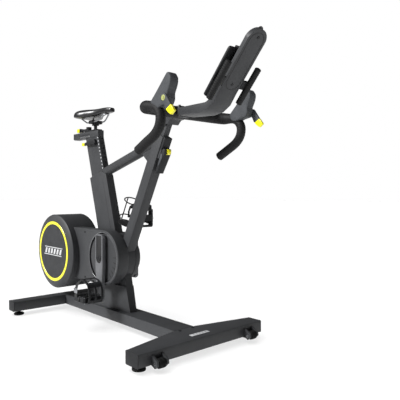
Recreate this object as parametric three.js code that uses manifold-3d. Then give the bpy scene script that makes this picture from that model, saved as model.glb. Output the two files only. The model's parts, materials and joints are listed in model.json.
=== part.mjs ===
// Studio exercise bike with a belt-driven flywheel, drop handlebar and tablet console.
// Millimetres, +Z up, +X to the front, +Y to the rider's left. Parts are laid out about the
// crank axis in X, then the whole bike is centred on the box it fills.
import * as THREE from 'three';
import * as BufferGeometryUtils from 'three/addons/utils/BufferGeometryUtils.js';
import Module from 'manifold-3d';

const wasm = await Module();
wasm.setup();

// ---- driving dimensions ----
const GAP = 0.3; // left between touching pieces
const CRANK = { z: 303, arm: 170, armHalf: 29, armIn: 82, armOut: 100, axleR: 12 };
const FLYWHEEL = { x: -392, z: 299, r: 160, near: -100, far: -66 };
const BASE = { low: 22, top: 69, beamHalf: 52, frontX: 572, rearX: -457, frontHalf: 315, rearHalf: 322 };
const HUB = { r: 110, half: 24, bore: 26 };
const COVER = { face: -80, rim: 123, recess: 112, floor: -64, wall: 3, shoulderR: 185, shoulderY: -105 };
const SEAT = { footX: -24, lean: 16.33, halfDepth: 69, halfWidth: 21, top: 399 };
const POST = { rear: -58, front: 52, halfWidth: 16, bottom: 232, top: 594 };
const COLUMN = { footX: 61, lean: 27, halfDepth: 25, halfWidth: 23.5, top: 588 };
const STEM = { halfDepth: 17, halfWidth: 14, bottom: 400, top: 660 };
const BAR = { x: 430, z: 903, r: 18, hoodY: 212 };
const WHEEL = { x: 591, z: 30, r: 17, axleR: 5, y: 236, halfGap: 18, cheek: 8 };
const CONSOLE = { lean: 40, halfWidth: 45, thick: 16 };

const paint = (name, color, roughness, metalness = 0) =>
  new THREE.MeshStandardMaterial({ name, color, roughness, metalness });
const look = {
  frame: paint('frame paint', 0x47484a, 0.55, 0.3),
  cover: paint('cover plastic', 0x3c3d40, 0.45),
  dark: paint('dark plastic', 0x1d1e20, 0.5),
  grey: paint('hood plastic', 0x85868a, 0.55),
  yellow: paint('yellow plastic', 0xf2ec1e, 0.4),
  rubber: paint('rubber', 0x111111, 0.85),
  steel: paint('steel', 0x9a9ca0, 0.3, 0.9),
  iron: paint('cast iron', 0x55575a, 0.6, 0.8),
  belt: paint('belt rubber', 0x0c0c0c, 0.8),
  glass: paint('screen glass', 0x0a0b0c, 0.1),
};

const bike = new THREE.Group();
const deg = THREE.MathUtils.degToRad;

// ---- solids ----
function toSolid(geometry) {
  const bare = geometry.clone();
  bare.deleteAttribute('normal');
  bare.deleteAttribute('uv');
  const merged = BufferGeometryUtils.mergeVertices(bare, 1e-3);
  const position = merged.attributes.position;
  const triangles = dropSlivers(Array.from(merged.index.array), position);
  if (signedVolume(triangles, position) < 0) triangles.reverse();
  return new wasm.Manifold(new wasm.Mesh({
    numProp: 3,
    vertProperties: new Float32Array(position.array),
    triVerts: new Uint32Array(triangles),
  }));
}

function dropSlivers(index, position) {
  const kept = [];
  for (let i = 0; i < index.length; i += 3) {
    const [a, b, c] = index.slice(i, i + 3);
    if (a !== b && b !== c && a !== c) kept.push(a, b, c);
  }
  return kept;
}

function signedVolume(index, position) {
  const [a, b, c] = [new THREE.Vector3(), new THREE.Vector3(), new THREE.Vector3()];
  let six = 0;
  for (let i = 0; i < index.length; i += 3) {
    a.fromBufferAttribute(position, index[i]);
    b.fromBufferAttribute(position, index[i + 1]);
    c.fromBufferAttribute(position, index[i + 2]);
    six += a.dot(b.cross(c));
  }
  return six;
}

function toGeometry(solid) {
  const mesh = solid.getMesh();
  const geometry = new THREE.BufferGeometry();
  geometry.setAttribute('position', new THREE.BufferAttribute(new Float32Array(mesh.vertProperties), 3));
  geometry.setIndex(Array.from(mesh.triVerts));
  geometry.computeVertexNormals();
  return geometry;
}

const join = (first, ...rest) => rest.reduce((whole, piece) => whole.add(piece), first);
const cut = (first, ...rest) => rest.reduce((whole, piece) => whole.subtract(piece), first);

function add(name, solid, material, parent = bike) {
  const mesh = new THREE.Mesh(toGeometry(solid), material);
  mesh.name = name;
  parent.add(mesh);
  return mesh;
}

// ---- shape helpers ----
function block(x0, x1, y0, y1, z0, z1) {
  const box = new THREE.BoxGeometry(x1 - x0, y1 - y0, z1 - z0);
  return toSolid(box.translate((x0 + x1) / 2, (y0 + y1) / 2, (z0 + z1) / 2));
}

// Round bar along Y.
function rod(radius, y0, y1, x = 0, z = 0, sides = 32) {
  const bar = new THREE.CylinderGeometry(radius, radius, y1 - y0, sides);
  return toSolid(bar.translate(x, (y0 + y1) / 2, z));
}

// Round bar along Z.
function pin(radius, z0, z1, x = 0, y = 0, sides = 24) {
  const bar = new THREE.CylinderGeometry(radius, radius, z1 - z0, sides).rotateX(Math.PI / 2);
  return toSolid(bar.translate(x, y, (z0 + z1) / 2));
}

// Turned piece about Y from (radius, y) points.
function turned(points, x = 0, z = 0, sides = 48) {
  const profile = points.map(([r, y]) => new THREE.Vector2(r, y));
  return toSolid(new THREE.LatheGeometry(profile, sides).translate(x, 0, z));
}

const outline = (points) => new THREE.Shape(points.map(([a, b]) => new THREE.Vector2(a, b)));

function bevelled(shape, depth, bevel, segments = 2) {
  return new THREE.ExtrudeGeometry(shape, {
    depth: depth - 2 * bevel,
    bevelEnabled: bevel > 0,
    bevelThickness: bevel,
    bevelSize: bevel,
    bevelOffset: -bevel,
    bevelSegments: segments,
    curveSegments: 10,
  }).translate(0, 0, bevel);
}

// Outline in side view (x, z), thick from y0 to y1.
function sideways(shape, y0, y1, bevel = 0, segments = 2) {
  return toSolid(bevelled(shape, y1 - y0, bevel, segments).rotateX(Math.PI / 2).translate(0, y1, 0));
}

// Outline in plan view (x, y), thick from z0 to z1.
function upright(shape, z0, z1, bevel = 0, segments = 2) {
  return toSolid(bevelled(shape, z1 - z0, bevel, segments).translate(0, 0, z0));
}

function circle(radius, sides) {
  const ring = [];
  for (let i = 0; i < sides; i += 1) {
    const turn = (i / sides) * 2 * Math.PI;
    ring.push([radius * Math.cos(turn), radius * Math.sin(turn)]);
  }
  return outline(ring);
}

function tube(points, radius, steps, sides = 12, tension = 0.5) {
  const path = new THREE.CatmullRomCurve3(points.map((p) => new THREE.Vector3(...p)), false, 'catmullrom', tension);
  return toSolid(new THREE.ExtrudeGeometry(circle(radius, sides), {
    steps,
    extrudePath: path,
    bevelEnabled: false,
  }));
}

function stadium(x0, x1, z, radius, arc = 24) {
  const shape = new THREE.Shape();
  shape.absarc(x1, z, radius, -Math.PI / 2, Math.PI / 2, false);
  shape.absarc(x0, z, radius, Math.PI / 2, 1.5 * Math.PI, false);
  return new THREE.Shape(shape.getSpacedPoints(2 * arc).slice(0, -1));
}

function leaning(footX, lean) {
  const group = new THREE.Group();
  group.position.set(footX, 0, CRANK.z);
  group.rotation.y = deg(lean);
  bike.add(group);
  return group;
}

const mirrored = (points, side) => points.map(([x, y, z]) => [x, side * y, z]);

// ---- base ----
function buildBase() {
  const { low, top, beamHalf, frontX, rearX, frontHalf, rearHalf } = BASE;
  const beamFront = 449;
  const beamRear = -390;
  add('base_beam', upright(outline([[beamRear + GAP, -beamHalf], [beamFront - GAP, -beamHalf],
    [beamFront - GAP, beamHalf], [beamRear + GAP, beamHalf]]), low, top, 2.5), look.frame);
  const endDepth = 68;
  const front = upright(outline([[frontX, -frontHalf], [frontX, frontHalf], [frontX - endDepth, frontHalf],
    [beamFront, beamHalf + 6], [beamFront, -beamHalf - 6], [frontX - endDepth, -frontHalf]]), low, top, 2.5);
  add('front_foot', join(front, wheelBracket(-1), wheelBracket(1)), look.frame);
  const rear = upright(outline([[rearX, -rearHalf], [beamRear - 8, -rearHalf], [beamRear, -beamHalf - 30],
    [beamRear, beamHalf + 30], [beamRear - 8, rearHalf], [rearX, rearHalf]]), low, top, 2.5);
  add('rear_foot', rear, look.frame);
  const pads = [['front_right', 530, -281], ['front_left', 530, 281], ['rear_right', -424, -288],
    ['rear_left', -424, 288]];
  for (const [corner, x, y] of pads) {
    const profile = [[0, 0], [24, 0], [24, 9], [9, 13], [9, low - GAP], [0, low - GAP]];
    const foot = new THREE.LatheGeometry(profile.map(([r, z]) => new THREE.Vector2(r, z)), 18);
    add(`levelling_foot_${corner}`, toSolid(foot.rotateX(Math.PI / 2).translate(x, y, 0)), look.rubber);
  }
}

// ---- transport wheels, between cheeks on the front foot ----
function wheelBracket(side) {
  const { x, z, axleR, y, halfGap, cheek } = WHEEL;
  const face = BASE.frontX - 1;
  const middle = side * y;
  const half = halfGap + cheek;
  const shape = outline([[face, 24], [x, z - 15], [x + 13, z - 4], [x + 11, z + 12], [face, 58]]);
  return join(
    sideways(shape, middle - half, middle - halfGap),
    sideways(shape, middle + halfGap, middle + half),
    rod(axleR, middle - halfGap - 1, middle + halfGap + 1, x, z, 20),
  );
}

function buildWheels() {
  const { x, z, r, axleR, y, halfGap } = WHEEL;
  const bore = axleR + GAP;
  const half = halfGap - 1;
  for (const [hand, side] of [['right', -1], ['left', 1]]) {
    const middle = side * y;
    add(`transport_wheel_${hand}`, turned([[bore, middle - half], [r - 3, middle - half], [r, middle - half + 4],
      [r, middle + half - 4], [r - 3, middle + half], [bore, middle + half], [bore, middle - half]], x, z, 20),
    look.rubber);
  }
}

// ---- frame ----
const seatFrame = leaning(SEAT.footX, -SEAT.lean);
const columnFrame = leaning(COLUMN.footX, COLUMN.lean);

// A solid made in a leaning frame, moved to the bike's own frame for a cut.
function inBike(solid, frame) {
  frame.updateMatrixWorld(true);
  return toSolid(toGeometry(solid).applyMatrix4(frame.matrixWorld));
}

// A solid made in the bike's own frame, moved into a leaning frame.
function inFrame(solid, frame) {
  frame.updateMatrixWorld(true);
  return toSolid(toGeometry(solid).applyMatrix4(frame.matrixWorld.clone().invert()));
}

function hubClear(margin, half = 60) {
  return rod(HUB.r + margin, -half, half, 0, CRANK.z, 36);
}

function buildHub() {
  const { r, half, bore } = HUB;
  add('frame_hub', turned([[bore, -half], [r, -half], [r, half], [bore, half], [bore, -half]], 0, CRANK.z, 36),
    look.frame);
}

function buildPedestal() {
  const floor = BASE.top + GAP;
  const rear = -125;
  const front = 124;
  const bandLow = CRANK.z - COVER.rim - GAP;
  const profile = outline([[rear, floor], [front, floor], [82, 238], [-62, 238]]);
  const plan = outline([[rear, -46], [front, -18], [front, 18], [rear, 46]]);
  const wedge = sideways(profile, -50, 50, 1.5).intersect(upright(plan, floor - 1, 300));
  const wide = cut(wedge, block(-200, 200, -60, 60, bandLow, 400), rod(COVER.rim + GAP, -60, 60, 0, CRANK.z, 36));
  const neck = sideways(outline([[-62, 120], [111.5, 120], [82, 238], [-62, 238]]), -18, 18);
  add('pedestal', cut(join(wide, neck), hubClear(GAP)), look.frame);
}

function buildSeatColumn() {
  const { halfDepth, halfWidth, top } = SEAT;
  const slope = outline([[-halfDepth, 85], [halfDepth, 85], [halfDepth, 373], [36, top], [-halfDepth, top]]);
  const outer = sideways(slope, -halfWidth, halfWidth, 2.5);
  const cavity = block(POST.rear - GAP, POST.front + GAP, -POST.halfWidth - GAP, POST.halfWidth + GAP,
    POST.bottom - 120, top + 1);
  const coverTop = CRANK.z + HUB.r + GAP;
  const below = inFrame(join(hubClear(GAP), block(-260, -115.7, -40, 40, 200, coverTop)), seatFrame);
  add('seat_column', cut(outer, cavity, below), look.frame, seatFrame);
}

const TOP_TUBE = { r: 22, rise: 15.85, zAtCrank: 718, rear: -100, joint: 215 };

function alongTopTube(radius, x0, x1, sides = 32) {
  const slope = Math.tan(deg(TOP_TUBE.rise));
  const length = (x1 - x0) / Math.cos(deg(TOP_TUBE.rise));
  const middle = (x0 + x1) / 2;
  const bar = new THREE.CylinderGeometry(radius, radius, length, sides).rotateZ(Math.PI / 2);
  bar.rotateX(Math.PI / sides).rotateY(-deg(TOP_TUBE.rise));
  return toSolid(bar.translate(middle, 0, TOP_TUBE.zAtCrank + slope * middle));
}

function buildTopTube() {
  const { halfDepth, halfWidth, top } = SEAT;
  const slope = outline([[-halfDepth, 85], [halfDepth + GAP, 85], [halfDepth + GAP, 373 + GAP], [36, top + GAP],
    [-halfDepth, top + GAP]]);
  const sleeve = sideways(slope, -halfWidth - GAP, halfWidth + GAP);
  const post = block(POST.rear - 30, POST.front + 4, -POST.halfWidth - 12, POST.halfWidth + 12, 100, 700);
  add('top_tube', cut(alongTopTube(TOP_TUBE.r, TOP_TUBE.rear, TOP_TUBE.joint - GAP),
    inBike(join(sleeve, post), seatFrame)), look.frame);
}

function buildFrontColumn() {
  const { halfDepth, halfWidth, top } = COLUMN;
  const outer = sideways(outline([[-halfDepth, 20], [halfDepth, 20], [halfDepth, top], [-halfDepth, top]]),
    -halfWidth, halfWidth, 2.5);
  const fairing = alongTopTube(TOP_TUBE.r + 1.2, TOP_TUBE.joint, 320);
  const web = sideways(outline([[205, 755], [252, 712], [320, 800], [300, 825], [240, 795]]), -15, 15, 3);
  const cavity = block(-STEM.halfDepth - GAP, STEM.halfDepth + GAP, -STEM.halfWidth - GAP,
    STEM.halfWidth + GAP, STEM.bottom - 60, top + 1);
  const below = inFrame(join(hubClear(GAP), alongTopTube(TOP_TUBE.r + GAP, 100, TOP_TUBE.joint)), columnFrame);
  const collar = block(halfDepth - 2, halfDepth + 11, -19, 19, 500, top);
  const inner = cut(inFrame(join(fairing, web), columnFrame), block(halfDepth - 1, 300, -60, 60, 0, 900));
  const trimmed = cut(join(outer, inner, collar), cavity, below);
  add('front_column', trimmed, look.frame, columnFrame);
}

function buildRearStay() {
  const { x, z } = FLYWHEEL;
  const plate = new THREE.Shape();
  plate.absarc(x, z, 34, Math.PI / 2, 1.5 * Math.PI, false);
  plate.lineTo(-90, z - 34);
  plate.lineTo(-90, z + 34);
  const stay = cut(sideways(plate, -22, 12), rod(10 + GAP, -30, 20, x, z, 32), hubClear(GAP));
  add('rear_stay', stay, look.frame);
  add('flywheel_axle', rod(10, -114, 14, x, z, 32), look.steel);
}

// ---- drive covers ----
function buildCovers() {
  const { face, rim, recess, floor, wall, shoulderR, shoulderY } = COVER;
  const z = CRANK.z;
  const split = -HUB.half - GAP;
  const fly = FLYWHEEL;
  const outer = join(sideways(stadium(fly.x, 0, z, rim), face, split, 2.5),
    rod(shoulderR, shoulderY, split, fly.x, fly.z, 40));
  const band = cut(sideways(stadium(fly.x, 0, z, rim - wall), face + wall, split + 1),
    rod(recess + wall, face - 1, floor + wall, 0, z, 36));
  const drum = rod(shoulderR - wall, shoulderY - 1, split + 1, fly.x, fly.z, 40);
  const dish = rod(recess, face - 1, floor, 0, z, 36);
  const axleHole = rod(CRANK.axleR + 5, face - 1, split + 1, 0, z);
  add('drive_cover_right', cut(outer, band, drum, dish, axleHole), look.cover);

  const farR = HUB.r;
  const farFace = 44;
  const bossFace = 66;
  const drumFace = 45;
  const shell = join(
    rod(shoulderR, -HUB.half, drumFace, fly.x, fly.z, 40),
    sideways(stadium(fly.x, 0, z, farR), HUB.half + GAP, farFace, 2),
    block(fly.x, -115.9, -HUB.half, HUB.half + 4, z - farR, z + farR),
    turned([[0, farFace - 2], [96, farFace - 2], [96, farFace], [90, bossFace], [0, bossFace]], 0, z, 36),
  );
  const hollow = join(
    rod(shoulderR - wall, -HUB.half - 1, drumFace - wall, fly.x, fly.z, 40),
    sideways(stadium(fly.x, 0, z, farR - wall), HUB.half - 1, farFace - wall),
    block(fly.x, -100, -HUB.half - 1, HUB.half, z - farR + wall, z + farR - wall),
    turned([[0, farFace - wall - 1], [91, farFace - wall - 1], [87, bossFace - wall], [0, bossFace - wall]],
      0, z, 36),
    rod(CRANK.axleR + 5, farFace, bossFace + 1, 0, z),
  );
  add('drive_cover_left', cut(shell, hollow, rod(HUB.r + GAP, -30, HUB.half + GAP, 0, z, 36)), look.cover);

  add('flywheel_cap', turned([[185, -105.3], [185, -107.5], [181, -109.8], [152, -120.5], [150.4, -120.5],
    [150.4, -118.4], [120, -118.4], [120, -115.4], [149, -115.4], [177, -105.3], [185, -105.3]],
  fly.x, fly.z, 40), look.cover);
  add('flywheel_cap_ring', turned([[136.3, -118.7], [136.3, -121.4], [150.1, -121.4], [150.1, -118.7],
    [136.3, -118.7]], fly.x, fly.z, 40), look.yellow);
  add('flywheel_cap_disc', turned([[0, -121], [136, -121], [136, -118.7], [0, -118.7]], fly.x, fly.z, 40),
    look.dark);
}

// ---- drive inside the covers ----
function beltOutline(a, b) {
  const along = Math.atan2(b.z - a.z, b.x - a.x);
  const open = Math.acos((a.r - b.r) / Math.hypot(b.x - a.x, b.z - a.z));
  const shape = new THREE.Shape();
  shape.absarc(a.x, a.z, a.r, along + open, along - open + 2 * Math.PI, false);
  shape.absarc(b.x, b.z, b.r, along - open, along + open, false);
  return outline(shape.getSpacedPoints(72).slice(0, -1).map((p) => [p.x, p.y]));
}

function buildDrive() {
  const z = CRANK.z;
  const fly = FLYWHEEL;
  const axle = CRANK.axleR;
  const bore = axle + GAP;
  const axleEnd = 94;
  add('crank_axle', rod(axle, -axleEnd, axleEnd, 0, z, 32), look.steel);
  add('crank_bearing_cartridge', turned([[bore, -23], [HUB.bore - GAP, -23], [HUB.bore - GAP, 23], [bore, 23],
    [bore, -23]], 0, z, 32), look.steel);
  const beltNear = -57;
  const beltFar = -41;
  const crankPulleyR = 85;
  const flyPulleyR = 24;
  add('crank_pulley', turned([[bore, -60], [24, -60], [24, beltNear - 1], [crankPulleyR, beltNear - 1],
    [crankPulleyR, beltFar + 1], [24, beltFar + 1], [24, -38], [bore, -38], [bore, -60]], 0, z, 36), look.iron);
  const flyBore = 10 + GAP;
  add('flywheel', turned([[flyBore, -100], [30, -100], [30, -90], [128, -88], [128, -100], [160, -100],
    [160, -66], [128, -66], [128, -80], [30, -78], [28, -60], [flyPulleyR, beltNear - 1],
    [flyPulleyR, beltFar + 1], [27, -38], [27, -34], [flyBore, -34], [flyBore, -100]], fly.x, fly.z, 40),
  look.iron);
  const loop = (grow) => beltOutline({ x: fly.x, z: fly.z, r: flyPulleyR + grow },
    { x: 0, z, r: crankPulleyR + grow });
  add('drive_belt', cut(sideways(loop(4.2), beltNear, beltFar), sideways(loop(1.2), beltNear - 1, beltFar + 1)),
    look.belt);
  const arc = new THREE.Shape();
  arc.absarc(fly.x, fly.z, 176, deg(110), deg(160), false);
  arc.absarc(fly.x, fly.z, 164, deg(160), deg(110), true);
  add('brake_magnet', sideways(arc, -98, -68), look.dark);
}

// ---- cranks and pedals ----
function buildCranks() {
  const { z, arm, armHalf, armIn, armOut } = CRANK;
  const spindleR = 7;
  add('crank_disc', turned([[CRANK.axleR + GAP, -75], [104, -75], [108, -73], [108, -70], [CRANK.axleR + GAP, -70],
    [CRANK.axleR + GAP, -75]], 0, z, 36), look.cover);
  for (const [hand, side, way] of [['right', -1, -1], ['left', 1, 1]]) {
    const reach = way * arm;
    const tail = -way * 106;
    const end = reach + way * 22;
    const shape = outline([[-armHalf, z + tail + way * 10], [-armHalf + 9, z + tail], [armHalf - 9, z + tail],
      [armHalf, z + tail + way * 10], [armHalf, z + way * 30], [19, z + end - way * 12], [10, z + end],
      [-10, z + end], [-19, z + end - way * 12], [-armHalf, z + way * 30]]);
    const [y0, y1] = side < 0 ? [-armOut, -armIn] : [armIn, armOut];
    const pocketY = side < 0 ? [-armOut - 1, -armOut + 4] : [armOut - 4, armOut + 1];
    const half = 21;
    const slotShape = new THREE.Shape();
    slotShape.absarc(0, z + way * 2, half, way < 0 ? Math.PI : 0, way < 0 ? 2 * Math.PI : Math.PI, false);
    slotShape.lineTo(-way * half, z + tail + way * 6);
    slotShape.lineTo(way * half, z + tail + way * 6);
    const axleBore = side < 0 ? rod(CRANK.axleR + GAP, -94 - GAP, -60, 0, z, 32) : rod(CRANK.axleR + GAP, 60,
      94 + GAP, 0, z, 32);
    const [s0, s1] = side < 0 ? [-204, -armIn - 1] : [armIn + 1, 204];
    const body = cut(sideways(shape, y0, y1, 2), sideways(slotShape, ...pocketY), axleBore);
    add(`crank_arm_${hand}`, join(body, rod(spindleR, s0, s1, 0, z + reach, 24)), look.grey);
    buildPedal(hand, side, z + reach, spindleR, side < 0 ? 0 : -90);
  }
}

function buildPedal(hand, side, z, spindleR, turn) {
  const y = side * 157;
  const turnedBy = (solid) => solid.translate([0, 0, -z]).rotate([0, turn, 0]).translate([0, 0, z]);
  const body = cut(
    upright(outline([[-44, y - 40], [-36, y - 46], [36, y - 46], [44, y - 40], [44, y + 40], [36, y + 46],
      [-36, y + 46], [-44, y + 40]]), z - 12, z + 12, 2, 1),
    block(15, 34, y - 34, y + 34, z - 20, z + 20),
    block(-34, -15, y - 34, y + 34, z - 20, z + 20),
    rod(spindleR + GAP, y - 60, y + 60, 0, z, 24),
  );
  add(`pedal_body_${hand}`, turnedBy(body), look.dark);
  const path = [[44.3, -10], [58, -8], [66, 12], [66, 40], [54, 66], [30, 80], [0, 84]];
  const inner = path.map(([x, dz]) => [x, z + dz]);
  const wall = 3;
  const outer = [[44.3, -10 - wall], [60, -11], [69, 11], [69, 41], [56, 69], [31, 83], [0, 87]];
  const sheet = sideways(outline([...outer.map(([x, dz]) => [x, z + dz]), ...inner.reverse()]), y - 36, y + 36);
  const windows = join(
    block(50, 80, y - 27, y - 4, z + 2, z + 56),
    block(50, 80, y + 4, y + 27, z + 2, z + 56),
    block(8, 44, y - 27, y + 27, z + 60, z + 100),
  );
  add(`toe_cage_${hand}`, turnedBy(cut(sheet, windows)), look.dark);
}

// ---- seat post, fore-aft block and saddle ----
function buildSeat() {
  const { rear, front, halfWidth, bottom, top } = POST;
  const teeth = [];
  for (let step = 0; step < 9; step += 1) {
    const z = bottom + 130 + step * 24;
    teeth.push(block(front - 3, front + 5, -7, 7, z, z + 9));
  }
  const blockBox = { x0: -367, x1: -135, half: 17, low: 862, high: 894 };
  const blade = sideways(outline([[rear, bottom], [front, bottom], [front, top + 30], [rear, top + 30]]),
    -halfWidth, halfWidth, 2);
  const blockClear = inFrame(block(-600, 200, -60, 60, blockBox.low - GAP, 1200), seatFrame);
  add('seat_post', cut(blade, blockClear, ...teeth), look.frame, seatFrame);

  const slot = block(-262, -139, -7, 7, blockBox.high - 14, blockBox.high + 1);
  const slotSide = join(block(-305, -205, -18, -15.5, 877, 881), block(-305, -205, 15.5, 18, 877, 881));
  add('saddle_block', cut(sideways(outline([[blockBox.x0, blockBox.low + 3], [blockBox.x0 + 8, blockBox.low],
    [blockBox.x1, blockBox.low], [blockBox.x1, blockBox.high], [blockBox.x0, blockBox.high]]),
  -blockBox.half, blockBox.half, 2.5), slot, slotSide), look.frame);

  const pinX = -183;
  const plateTop = blockBox.high + GAP + 6;
  const slider = join(
    block(pinX - 80, pinX + 34, -16, 16, blockBox.high + GAP, plateTop),
    block(pinX - 30, pinX + 2, -6, 6, blockBox.high - 12, plateTop),
    pin(8, plateTop - 1, 927, pinX, 0),
  );
  add('saddle_slider', slider, look.dark);

  const railZ = 936;
  const rails = [[-276, 36, 966], [-262, 34, 961], [-236, 23, 942], [-220, 21.5, railZ], [-185, 21, railZ],
    [-150, 20.5, railZ], [-130, 20, 940], [-95, 14, 959], [-82, 8, 963]];
  const path = [...rails, ...mirrored(rails, -1).reverse()];
  const railTube = (radius) => tube(path, radius, 40, 8);
  add('saddle_rails', railTube(3.5), look.steel);
  const clamp = cut(join(block(pinX - 17, pinX + 17, -28, 28, railZ - 7.5, railZ + 7.5),
    block(pinX - 12, pinX + 12, -12, 12, 920, railZ - 7)),
  railTube(3.9), pin(8 + GAP, 900, 928, pinX, 0));
  add('saddle_clamp', clamp, look.dark);

  const plan = new THREE.Shape();
  plan.moveTo(-307, 0);
  plan.bezierCurveTo(-307, 40, -296, 74, -262, 74);
  plan.bezierCurveTo(-215, 74, -190, 24, -120, 21);
  plan.bezierCurveTo(-70, 19, -32, 18, -32, 0);
  plan.bezierCurveTo(-32, -18, -70, -19, -120, -21);
  plan.bezierCurveTo(-190, -24, -215, -74, -262, -74);
  plan.bezierCurveTo(-296, -74, -307, -40, -307, 0);
  const half = [[-298, 0], [-296, 30], [-286, 56], [-266, 64], [-240, 58], [-205, 38], [-180, 26], [-140, 18],
    [-140, 0]];
  const pocket = upright(outline([...half, ...half.slice(1, -1).map(([x, y]) => [x, -y]).reverse()]), 945, 971);
  add('saddle', cut(upright(plan, 956, 1000, 8, 1), pocket, block(-150, 0, -90, 90, 945, 967)), look.rubber);

  const knobX = -244;
  const knobLow = plateTop + GAP;
  const lever = join(pin(13, knobLow, 919, knobX, 0), block(knobX - 66, knobX, -7, 7, 903, 912),
    block(knobX - 96, knobX - 66, -11, 11, 900, 917));
  add('fore_aft_lever', lever, look.dark);

  add('seat_height_lever', sideways(outline([[-150, 824], [-142, 836], [-150, 850], [-176, 850], [-232, 839],
    [-260, 836], [-260, 825], [-232, 826], [-180, 826]]), -30, -halfWidth - 1, 1.5), look.dark);
}

// ---- handlebar, stem and controls ----
const stemFrame = columnFrame;

function barPath() {
  const { x, z, hoodY } = BAR;
  const right = [[x, 0, z], [x + 3, 70, z], [x + 8, 135, z - 1], [x + 18, 180, z - 3], [x + 42, 201, z - 7],
    [x + 78, 206, z - 11], [x + 108, 207, z - 22], [x + 126, 208, z - 48], [x + 122, 209, z - 82],
    [x + 98, 210, z - 110], [x + 54, hoodY, z - 134], [x + 4, hoodY, z - 160]];
  return [...mirrored(right.slice(1), -1).reverse(), ...right];
}

function buildHandlebar() {
  const { halfDepth, halfWidth, bottom, top } = STEM;
  const holes = [];
  for (let step = 0; step < 10; step += 1) {
    const z = bottom + 60 + step * 20;
    holes.push(block(-halfDepth - 1, -halfDepth + 5, -5, 5, z, z + 9));
  }
  const post = sideways(outline([[-halfDepth, bottom], [halfDepth, bottom], [halfDepth, top], [-halfDepth, top]]),
    -halfWidth, halfWidth, 2);
  add('handlebar_post', cut(post, ...holes), look.frame, stemFrame);

  const bar = (radius) => tube(barPath(), radius, 56, 10);
  add('handlebar', bar(BAR.r), look.rubber);
  const barClear = bar(BAR.r + GAP);
  const postClear = inBike(block(-halfDepth - GAP, halfDepth + GAP, -halfWidth - GAP, halfWidth + GAP, 300,
    top + GAP), stemFrame);
  const profile = outline([[330, 872], [336, 898], [356, 922], [395, 929], [452, 926], [459, 905], [452, 884],
    [402, 878], [386, 862]]);
  add('stem', cut(sideways(profile, -30, 30, 4), barClear, postClear), look.frame);

  for (const [hand, side] of [['right', -1], ['left', 1]]) {
    const span = (a, b) => [Math.min(side * a, side * b), Math.max(side * a, side * b)];
    const hood = outline([[518, 911], [534, 918], [569, 954], [603, 989], [612, 989], [621, 970], [620, 954],
      [603, 925], [606, 905], [596, 888], [568, 886], [550, 878], [528, 886]]);
    add(`hood_${hand}`, cut(sideways(hood, ...span(184, 221), 5), barClear), look.grey);
    const pivot = { x: 598, z: 906 };
    const blade = new THREE.Shape();
    blade.absarc(pivot.x, pivot.z, 15, deg(50), deg(215), false);
    for (const [px, pz] of [[600, 886], [607, 870], [622, 856], [635, 847], [650, 858], [633, 881]]) {
      blade.lineTo(px, pz);
    }
    const lever = cut(sideways(blade, ...span(222.3, 232.3), 2), rod(5.3, ...span(226.5, 240), pivot.x, pivot.z, 20));
    add(`brake_lever_${hand}`, lever, look.grey);
    add(`shift_button_${hand}`, rod(5, ...span(229.3, 234.5), pivot.x, pivot.z, 20), look.yellow);
  }
}

const consoleFrame = new THREE.Group();
consoleFrame.position.set(676, 0, 946);
consoleFrame.rotation.y = deg(CONSOLE.lean);
bike.add(consoleFrame);

// Outline across the bike (y, z), thick from x0 to x1.
function crosswise(shape, x0, x1) {
  const turn = new THREE.Matrix4().makeBasis(new THREE.Vector3(0, 1, 0), new THREE.Vector3(0, 0, 1),
    new THREE.Vector3(1, 0, 0));
  return toSolid(bevelled(shape, x1 - x0, 0).applyMatrix4(turn).translate(x0, 0, 0));
}

function buildConsole() {
  const { halfWidth, thick } = CONSOLE;
  const end = 228;
  const arm = sideways(outline([[459.8, 886], [570, 880], [612, 886], [646, 906], [676, 946], [836, 1136.7],
    [823.8, 1147], [663.7, 956.3], [640, 930], [606, 914], [459.8, 914]]), -halfWidth, halfWidth, 2.5);
  const tip = new THREE.Shape();
  tip.moveTo(-halfWidth - 1, -400);
  tip.lineTo(halfWidth + 1, -400);
  tip.lineTo(halfWidth + 1, end - halfWidth);
  tip.absarc(0, end - halfWidth, halfWidth, 0, Math.PI, false);
  tip.lineTo(-halfWidth - 1, end - halfWidth);
  add('console_arm', inFrame(arm, consoleFrame).intersect(crosswise(tip, -300, 100)), look.frame, consoleFrame);

  const back = -thick - 13.7;
  const holder = join(
    block(back, back + 3.7, -28, 28, -51, 125),
    block(back + 3, -thick - GAP, -22, 22, 10, 100),
    block(back - 12.8, back + 1, -40, 40, -51, -47.3),
    block(back - 12.8, back - 10.6, -40, 40, -51, -41),
  );
  add('tablet_holder', holder, look.dark, consoleFrame);
  const tabletFront = back - 10.1;
  const tabletBack = back - 1.8;
  add('tablet', block(tabletFront, tabletBack, -66, 66, -46.7, 140), look.glass, consoleFrame);
  add('tablet_clip', join(block(back - 1.4, back - GAP, -10, 10, 90, 146),
    block(back - 12.8, back - GAP, -34, 34, 142.3, 146),
    block(back - 12.8, back - 10.6, -34, 34, 136, 146)), look.dark, consoleFrame);
  for (const [hand, side] of [['right', -1], ['left', 1]]) {
    const [y0, y1] = side < 0 ? [-68, -halfWidth - GAP] : [halfWidth + GAP, 68];
    add(`side_grip_${hand}`, join(pin(12, -40, 106, 4, side * 76, 20), block(-7, 1, y0, y1, 16, 48)), look.rubber,
      consoleFrame);
  }
}

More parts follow.
